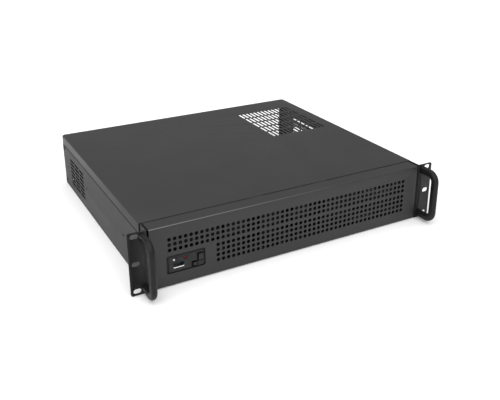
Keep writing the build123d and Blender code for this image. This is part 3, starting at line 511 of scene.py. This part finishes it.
bezelLook = {
    "sheet": 1.2,
    "bend": 1.5,                                        # inner radius of the folds
    "bendSteps": 6,
    "pitch": 7.5,
    "hole": 5.1,
    "holeSides": 20,
    "roll": 0.10,                                       # rounding of the punched rims
    "rollMiddle": (0.7, 0.3),                           # halfway round: its shares inward and deep
    "columns": 51,
    "upperRows": 3,
    "lowerRows": 4,
    "skipped": 9,                                       # columns at the left without the lower rows
    "upperMargin": 19.7,                                # from the top to the first row
    "blockGap": 9.3,                                    # from the last upper to the first lower row
    "opening": (-165.6, 31.25, 54.0, 25.7, 3.0),        # centre, size and corner radius
    "faceEdge": 4.0,                                    # from top and bottom to the flat face
    "tabs": (-200.0, -27.5, 80.0, 200.0),               # places across the case
    "tabSize": (16.0, 9.0),
    "tabCorner": 1.5,
    "tabCornerSteps": 3,
    "cornerAngle": 40,                                  # sharper corners aren't smoothed
}
# Painted highlight along the bezel's top fold
foldHighlight = {
    "color": (0.170, 0.170, 0.170),
    "reach": (0.09 * mm, 0.01 * mm),                    # below the crest: the painted highlight starts, is full
    "fade": (70.0 * mm, -230.0 * mm),                   # across the case: the same
}
# Walls of the punched holes: near black, painted shade inside the holes
holeWallShade = dict(coatLook, dark=(0.003, 0.003, 0.003), light=(0.004, 0.004, 0.004), specular=0.1)
insideOutline = 1                                       # triangulates only what the outline holds
flatDistance = 1e-5                                     # its corners closer than this are one


def bezelCoat(look, highlight):
    # The top fold is painted paler as a highlight, most of all at the left
    finish = coated("bezelCoat", coatLook)
    radius = (look["bend"] + look["sheet"]) * mm
    slope = (0, -math.sqrt(0.5), math.sqrt(0.5))
    centre = Vector((0, earFace + radius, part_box("front_bezel")[1].z - radius))
    crest = centre.dot(Vector(slope)) + radius
    share = finish.both(finish.band(slope, *(crest - drop for drop in highlight["reach"])),
                        finish.band((1, 0, 0), *highlight["fade"]))
    finish.paintShadeHighlight(share, highlight["color"])
    return finish.material


def holePlaces(look, top):
    upperZ = top - look["upperMargin"]
    lowerZ = upperZ - look["pitch"] * (look["upperRows"] - 1) - look["blockGap"]
    left = -look["pitch"] * (look["columns"] - 1) / 2
    places = [(left + i * look["pitch"], upperZ - j * look["pitch"])
              for i in range(look["columns"]) for j in range(look["upperRows"])]
    places += [(left + i * look["pitch"], lowerZ - j * look["pitch"])
               for i in range(look["skipped"], look["columns"]) for j in range(look["lowerRows"])]
    return places


def rimOutlines(look, top):
    # Outer edge of each hole's rolled rim, and last of the control opening's
    roll = look["roll"]
    radius = look["hole"] / 2 + roll
    turns = [2 * math.pi * i / look["holeSides"] for i in range(look["holeSides"])]
    rims = [[(x + math.cos(turn) * radius, z + math.sin(turn) * radius) for turn in turns]
            for x, z in holePlaces(look, top)]
    cx, cz, width, height, corner = look["opening"]
    return rims + [roundedOutline(cx, cz, width + 2 * roll, height + 2 * roll, corner + roll)]


def punchFace(shape, look, rims, corners):
    # One flat triangulation, used at the front and, reversed, at the back
    points, edges = [Vector(p) for p in corners], [(i, (i + 1) % 4) for i in range(4)]
    rimOf = [None] * 4
    for number, rim in enumerate(rims):
        first = len(points)
        rimOf += [number] * len(rim)
        points += [Vector(p) for p in rim]
        edges += [(first + i, first + (i + 1) % len(rim)) for i in range(len(rim))]
    _, _, faces, origins, _, _ = delaunay_2d_cdt(points, edges, [], insideOutline, flatDistance)
    front, back = ([shape.verts.new((p.x * mm, earFace + depth * mm, p.y * mm)) for p in points]
                   for depth in (0, look["sheet"]))
    for triangle in faces:
        own = [origins[i][0] for i in triangle]
        owner = {rimOf[i] for i in own}
        if len(owner) > 1 or None in owner:             # else the triangle lies within one hole
            shape.faces.new([front[i] for i in own])
            shape.faces.new([back[i] for i in reversed(own)])
    return front[4:], back[4:]


def rimRing(shape, rim, middle, inward, depth):
    # The rim's outline drawn inward, at a depth behind the face
    ring = []
    for i in range(len(rim)):
        here, before, after = (Vector(rim[k % len(rim)]) for k in (i, i - 1, i + 1))
        along = (after - before).normalized()
        toMiddle = Vector((-along.y, along.x))
        if toMiddle.dot(middle - here) < 0:
            toMiddle = -toMiddle
        spot = here + toMiddle * inward
        ring.append(shape.verts.new((spot.x * mm, earFace + depth * mm, spot.y * mm)))
    return ring


def rollRims(shape, look, rims, front, back, isWall):
    # A rolled edge at each side of a hole and the punched wall between
    sheet, roll = look["sheet"], look["roll"]
    inward, deep = (roll * share for share in look["rollMiddle"])
    at = 0
    for rim in rims:
        own = slice(at, at + len(rim))
        at += len(rim)
        middle = sum((Vector(p) for p in rim), Vector((0, 0))) / len(rim)
        steps = ((inward, deep), (roll, roll), (roll, sheet - roll), (inward, sheet - deep))
        rings = [front[own], *(rimRing(shape, rim, middle, *step) for step in steps), back[own]]
        for one, other in zip(rings, rings[1:]):
            for wall in joinRings(shape, one, other):
                wall[isWall] = one is not rings[0] and rim is not rims[-1]


def foldFlange(shape, look, low, high, side, zFace):
    # The fold at the upper or lower end of the face and its flange, as one bent strip
    face, sheet = earFace / mm, look["sheet"]
    radius = look["bend"] + sheet
    zEdge = high.z if side > 0 else low.z
    outside, inner = [(face, zFace)], [(face + sheet, zFace)]
    for i in range(look["bendSteps"] + 1):
        turn = math.radians(90 * i / look["bendSteps"])
        for line, r in ((outside, radius), (inner, look["bend"])):
            line.append((face + radius - r * math.cos(turn),
                         zEdge - side * (radius - r * math.sin(turn))))
    outside.append((high.y, zEdge))
    inner.append((high.y, zEdge - side * sheet))
    left, right = ([[shape.verts.new((x * mm, y * mm, z * mm)) for y, z in line]
                    for line in (outside, inner)] for x in (low.x, high.x))
    for i in range(len(outside) - 1):
        for one, other in zip(left, right):
            shape.faces.new((one[i], one[i + 1], other[i + 1], other[i]))
        for end in (left, right):
            shape.faces.new((end[0][i], end[0][i + 1], end[1][i + 1], end[1][i]))
    shape.faces.new((left[0][-1], left[1][-1], right[1][-1], right[0][-1]))


def addTab(shape, look, x, side, zEdge, back):
    # A tab bent from the flange to the inner wall
    wide, tall = look["tabSize"]
    outline = roundedOutline(x, zEdge - side * (tall / 2 + look["sheet"]), wide, tall,
                             look["tabCorner"], look["tabCornerSteps"])
    ends = [[shape.verts.new((px * mm, y * mm, pz * mm)) for px, pz in outline]
            for y in (back - look["sheet"], back)]
    joinRings(shape, *ends)
    shape.faces.new(ends[0])
    shape.faces.new(reversed(ends[1]))


def makeBezel(look):
    low, high = (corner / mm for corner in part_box("front_bezel"))
    face = earFace / mm
    shape = bmesh.new()
    isWall = shape.faces.layers.int.new("isWall")
    zLow, zHigh = low.z + look["faceEdge"], high.z - look["faceEdge"]
    rims = rimOutlines(look, high.z)
    corners = [(low.x, zLow), (high.x, zLow), (high.x, zHigh), (low.x, zHigh)]
    front, back = punchFace(shape, look, rims, corners)
    rollRims(shape, look, rims, front, back, isWall)
    for side, zFace in ((1, zHigh), (-1, zLow)):
        foldFlange(shape, look, low, high, side, zFace)
    inside = face + look["sheet"]
    section = [(face, zLow), (face, zHigh), (inside, zHigh), (inside, zLow)]
    for x in (low.x, high.x):                           # side edges of the face
        shape.faces.new([shape.verts.new((x * mm, y * mm, z * mm)) for y, z in section])
    for x in look["tabs"]:
        for side, zEdge in ((1, high.z), (-1, low.z)):
            addTab(shape, look, x, side, zEdge, high.y)
    bmesh.ops.remove_doubles(shape, verts=shape.verts, dist=joinDistance)
    bmesh.ops.recalc_face_normals(shape, faces=shape.faces)

    piece = addPiece("bezelPunched", shape, "front_bezel")
    mesh = piece.data
    # coat with the painted highlight on the top fold
    mesh.materials[0] = bezelCoat(look, foldHighlight)
    # the holes' walls take the painted shade
    mesh.materials.append(powderCoat("punchedWallShade", holeWallShade))
    for polygon, mark in zip(mesh.polygons, mesh.attributes["isWall"].data):
        polygon.material_index = mark.value
    smoothByAngle(mesh, look["cornerAngle"])
    return piece


bezel = makeBezel(bezelLook)
print("bezel punched,", len(bezel.data.polygons), "faces")


# Handles: bars bent round from ear to bezel height, of rounded oblong section

handleSection = {
    "wide": 8.5,
    "deep": 11.5,
    "corner": 3.8,
    "cornerSteps": 6,
    "bend": 12.0,
    "bendSteps": 14,
    "cornerAngle": 40,
}


def makeHandle(node, look):
    low, high = (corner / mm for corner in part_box(node))
    x = (low.x + high.x) / 2
    front, root = low.y + look["deep"] / 2, high.y
    armLow, armHigh = low.z + look["deep"] / 2, high.z - look["deep"] / 2
    # Path from the lower root forward, up and back, as places and inward directions
    path = [((root, armLow), 180.0)]
    for cy, cz, start in ((front + look["bend"], armLow + look["bend"], 270.0),
                          (front + look["bend"], armHigh - look["bend"], 180.0)):
        for i in range(look["bendSteps"] + 1):
            turn = start - 90 * i / look["bendSteps"]
            path.append(((cy + look["bend"] * math.cos(math.radians(turn)),
                          cz + look["bend"] * math.sin(math.radians(turn))), turn - 90))
    path.append(((root, armHigh), 0.0))
    section = roundedOutline(0, 0, look["wide"], look["deep"], look["corner"], look["cornerSteps"])
    shape = bmesh.new()
    rings = []
    for (y, z), heading in path:
        side = math.radians(heading + 90)
        rings.append([shape.verts.new(((x + u) * mm, (y + math.cos(side) * v) * mm,
                                       (z + math.sin(side) * v) * mm)) for u, v in section])
    for one, other in zip(rings, rings[1:]):
        joinRings(shape, one, other)
    shape.faces.new(rings[0])
    shape.faces.new(reversed(rings[-1]))
    bmesh.ops.recalc_face_normals(shape, faces=shape.faces)
    smoothByAngle(addPiece(node + ".bar", shape, node).data, look["cornerAngle"])


for node in ("left_handle", "right_handle"):
    makeHandle(node, handleSection)
print("handles bent")


# Folded sheets, mouldings and turned parts: finer copies of the solids

edgeRoll = {                                            # width of rolled edges; 0 leaves them cut
    "chassis_tray": 0,
    "rear_panel": 0,
    "io_panel": 0,
    "slot_cover_1": 0,
    "slot_cover_2": 0,
    "slot_cover_3": 0,
    "slot_cover_4": 0,
    "top_cover": 0.4,
    "left_ear": 0.25,
    "right_ear": 0.25,
    "control_panel": 0.25,
    "power_button": 0.2,
    "reset_button": 0.2,
    "power_led": 0,
    "activity_led": 0,
    "usb_shell": 0,
    "usb_tongue": 0,
    "control_board": 0,
    "power_switch": 0,
    "reset_switch": 0,
    "fan_frame_left": 0.25,
    "fan_frame_right": 0.25,
    "fan_rotor_left": 0.2,
    "fan_rotor_right": 0.2,
    "drive_cage": 0,
    "cross_brace": 0,
    "board_standoffs": 0.2,
}
rolling = {
    "steps": 2,
    "rolledAngle": 35.0,                                # sharper edges are rolled over
    "smoothAngle": 32.0,                                # cut pieces: blunter edges are smoothed
}


def softened(node, width, look):
    piece = addPiece(node + ".soft", joinedShape(node), node)
    if not width:
        smoothByAngle(piece.data, look["smoothAngle"])
        return piece
    piece.data.shade_smooth()
    bevel = piece.modifiers.new("rolledEdges", "BEVEL")
    bevel.width = width * mm
    bevel.segments = look["steps"]
    bevel.limit_method = "ANGLE"
    bevel.angle_limit = math.radians(look["rolledAngle"])
    bevel.use_clamp_overlap = False
    bevel.harden_normals = True
    applyModifiers(piece)
    low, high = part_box(node)
    for vertex in piece.data.vertices:                  # none is rolled out of the solid's box
        vertex.co = [min(max(c, a), b) for c, a, b in zip(vertex.co, low, high)]
    return piece


soft = {node: softened(node, width, rolling) for node, width in edgeRoll.items()}
print("finer copies made,", len(soft), "pieces")


# Control panel: wide gaps at the left and above, the tongue set back and a thick lower lip

panelLook = {
    "gaps": {                                           # how far in the left and upper edges stand
        "control_panel": 1.6,
        "power_button": 1.3,
        "reset_button": 1.3,
    },
    "gapBlend": 4.0,                                    # width over which the rest follows
    "tongueDepth": 2.4,                                 # how far back the tongue's front end goes
    "tongueFront": 1.0,                                 # length of that end
    "lipRise": 0.5,
    "lip": (0.3, 1.0),                                  # heights between which the lip's top lies
}


def drawIn(node, step, blend, behind):
    # Only what stands in front of the plane behind moves
    ahead = [v for v in soft[node].data.vertices if v.co.y < behind]
    left, top = min(v.co.x for v in ahead), max(v.co.z for v in ahead)
    for vertex in ahead:
        vertex.co.x += step * max(0.0, 1 - (vertex.co.x - left) / blend)
        vertex.co.z -= step * max(0.0, 1 - (top - vertex.co.z) / blend)


def trimPanel(look):
    for node, step in look["gaps"].items():
        drawIn(node, step * mm, look["gapBlend"] * mm, earFace + bezelLook["sheet"] * mm)
    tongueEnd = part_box("usb_tongue")[0].y + look["tongueFront"] * mm
    for vertex in soft["usb_tongue"].data.vertices:
        if vertex.co.y < tongueEnd:
            vertex.co.y += look["tongueDepth"] * mm
    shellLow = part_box("usb_shell")[0].z
    lipLow, lipHigh = look["lip"]
    for vertex in soft["usb_shell"].data.vertices:
        if lipLow * mm < vertex.co.z - shellLow < lipHigh * mm:
            vertex.co.z += look["lipRise"] * mm


trimPanel(panelLook)
print("control panel trimmed")


# Coats of their own, with painted shade: the ears darken to the left and behind, the lid at its
# lower edge

earLook = dict(coatLook, specular=0.26)
# Painted shade: the ears' coat darkens to the left and on the parts behind their face
earShade = {
    "across": {                                         # to the left: shade starts, is full
        "left_ear": (218.5 * mm, 235.0 * mm),
        "right_ear": (-225.0 * mm, -217.0 * mm),
    },
    "acrossColor": (0.002, 0.002, 0.002),
    "behind": (3 * mm, 5 * mm),                         # behind the ears' face
    "behindColor": (0.004, 0.004, 0.004),
}
trayLook = dict(coatLook, specular=0.2)
# Painted shade: a dark line at the lower edge of the lid's flanges, along the seam
lidShade = {
    "flange": 14.6 * mm,                                # height of the lid's side flanges
    "reach": (1.5 * mm, 0.9 * mm),                      # above their lower edge
    "color": (0.001, 0.001, 0.001),
}


def shadeEar(node, look, shade):
    ear = coated(node + "Coat", look)
    ear.paintShadeHighlight(ear.band((-1, 0, 0), *shade["across"][node]), shade["acrossColor"])
    behind = (earFace + depth for depth in shade["behind"])
    ear.paintShadeHighlight(ear.band((0, 1, 0), *behind), shade["behindColor"])
    soft[node].data.materials[0] = ear.material


def shadeLid(look, shade):
    lid = coated("lidCoat", look)
    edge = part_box("top_cover")[1].z - shade["flange"]
    lid.paintShadeHighlight(lid.band((0, 0, -1), *(-edge - rise for rise in shade["reach"])), shade["color"])
    soft["top_cover"].data.materials[0] = lid.material


for node in earShade["across"]:
    shadeEar(node, earLook, earShade)
soft["chassis_tray"].data.materials[0] = powderCoat("trayCoat", trayLook)
shadeLid(coatLook, lidShade)
print("ears, tray and lid coated")


# Screws: pan heads with a cross recess

screwGroups = {
    # Axis and side of the head; radius of the shank and the head, and the head's height
    "cover_screws": ("y", 1, 1.5, 2.8, 2.0),
    "side_screws": ("x", "out", 2.0, 3.5, 1.1),
    "ear_screws": ("x", "in", 1.5, 2.8, 2.0),
    "handle_screws": ("y", 1, 2.0, 3.5, 2.2),
    "slot_screws": ("z", 1, 1.5, 2.8, 2.0),
    "bezel_screws": ("y", 1, 1.5, 2.8, 2.0),
    "panel_screws": ("y", 1, 1.5, 2.8, 2.0),
    "board_screws": ("y", 1, 1.0, 1.9, 1.4),
    "fan_screws": ("y", -1, 2.0, 3.5, 2.2),
    "cage_screws": ("z", 1, 1.5, 2.8, 2.0),
    "brace_screws": ("x", "in", 1.5, 2.4, 1.6),
}
headShape = {
    "sides": 32,
    "tip": (0.7, 0.4),                                  # radius and length, by the shank's radius
    "rim": 0.35,                                        # share of the head's height below its dome
    "domeSteps": 5,
    "domePower": 0.55,                                  # under 1 gives the dome fuller shoulders
    "recessReach": 0.62,                                # this and the next by the head's radius
    "recessHalfWidth": 0.16,
    "recessTop": 1.05,                                  # this and the next by the head's height
    "recessDepth": 0.62,
    "recessNarrow": 0.45,                               # size of the cross at its bottom
    "cornerAngle": 38,
}


def lathe(shape, profile, sides):
    rings = []
    for r, h in profile:
        if r == 0:
            rings.append([shape.verts.new((0, 0, h * mm))])
        else:
            rings.append([shape.verts.new((r * mm * math.cos(2 * math.pi * i / sides),
                                           r * mm * math.sin(2 * math.pi * i / sides), h * mm))
                          for i in range(sides)])
    for one, other in zip(rings, rings[1:]):
        for i in range(sides):
            j = (i + 1) % sides
            corners = [one[i % len(one)], one[j % len(one)],
                       other[j % len(other)], other[i % len(other)]]
            unique = list(dict.fromkeys(corners))
            if len(unique) > 2:
                shape.faces.new(unique)


def turnedScrew(shank, head, height, length, look):
    shape = bmesh.new()
    tipRadius, tipLength = (shank * share for share in look["tip"])
    rim, steps = look["rim"], look["domeSteps"]
    profile = [(0, -length), (tipRadius, -length), (shank, -length + tipLength), (shank, 0),
               (head, 0), (head, height * rim)]
    for i in range(1, steps + 1):
        turn = math.radians(90 * i / steps)
        profile.append((head * math.cos(turn) ** look["domePower"] if i < steps else 0,
                        height * (rim + (1 - rim) * math.sin(turn))))
    lathe(shape, profile, look["sides"])
    bmesh.ops.recalc_face_normals(shape, faces=shape.faces)
    return shape


def crossCutter(head, height, look):
    # A cross that narrows with depth
    reach, half = head * look["recessReach"], head * look["recessHalfWidth"]
    cross = [(reach, half), (half, half), (half, reach), (-half, reach), (-half, half),
             (-reach, half), (-reach, -half), (-half, -half), (-half, -reach), (half, -reach),
             (half, -half), (reach, -half)]
    shape = bmesh.new()
    top, bottom = ([shape.verts.new((x * size * mm, y * size * mm, height * level * mm))
                    for x, y in cross]
                   for level, size in ((look["recessTop"], 1.0),
                                       (1 - look["recessDepth"], look["recessNarrow"])))
    joinRings(shape, top, bottom)
    shape.faces.new(top)
    shape.faces.new(reversed(bottom))
    bmesh.ops.recalc_face_normals(shape, faces=shape.faces)
    return shape


def screwMesh(name, shank, head, height, length, look):
    screw = objectFrom(name, turnedScrew(shank, head, height, length, look))
    cutter = objectFrom(name + ".recess", crossCutter(head, height, look))
    cut = screw.modifiers.new("recess", "BOOLEAN")
    cut.operation = "DIFFERENCE"
    cut.solver = "EXACT"
    cut.object = cutter
    applyModifiers(screw)
    mesh = screw.data
    for thing in (cutter, screw):
        bpy.data.objects.remove(thing)
    return mesh


def makeScrews(node, axis, side, shank, head, height):
    shape = bmesh.new()
    number = "xyz".index(axis)
    for low, high in islands(node):
        middle = (low + high) / 2
        sign = side
        if side in ("out", "in"):
            sign = math.copysign(1, middle[number]) * (1 if side == "out" else -1)
        length = (high[number] - low[number]) / mm - height
        mesh = screwMesh(node + ".head", shank, head, height, length, headShape)
        seat = middle.copy()
        seat[number] = high[number] - height * mm if sign > 0 else low[number] + height * mm
        direction = Vector([sign if i == number else 0 for i in range(3)])
        turn = direction.to_track_quat("Z", "Y").to_matrix().to_4x4()
        mesh.transform(Matrix.Translation(seat) @ turn)
        shape.from_mesh(mesh)
        bpy.data.meshes.remove(mesh)
    smoothByAngle(addPiece(node + ".turned", shape, node).data, headShape["cornerAngle"])


for node, measures in screwGroups.items():
    makeScrews(node, *measures)
print("screws turned,", len(screwGroups), "groups")
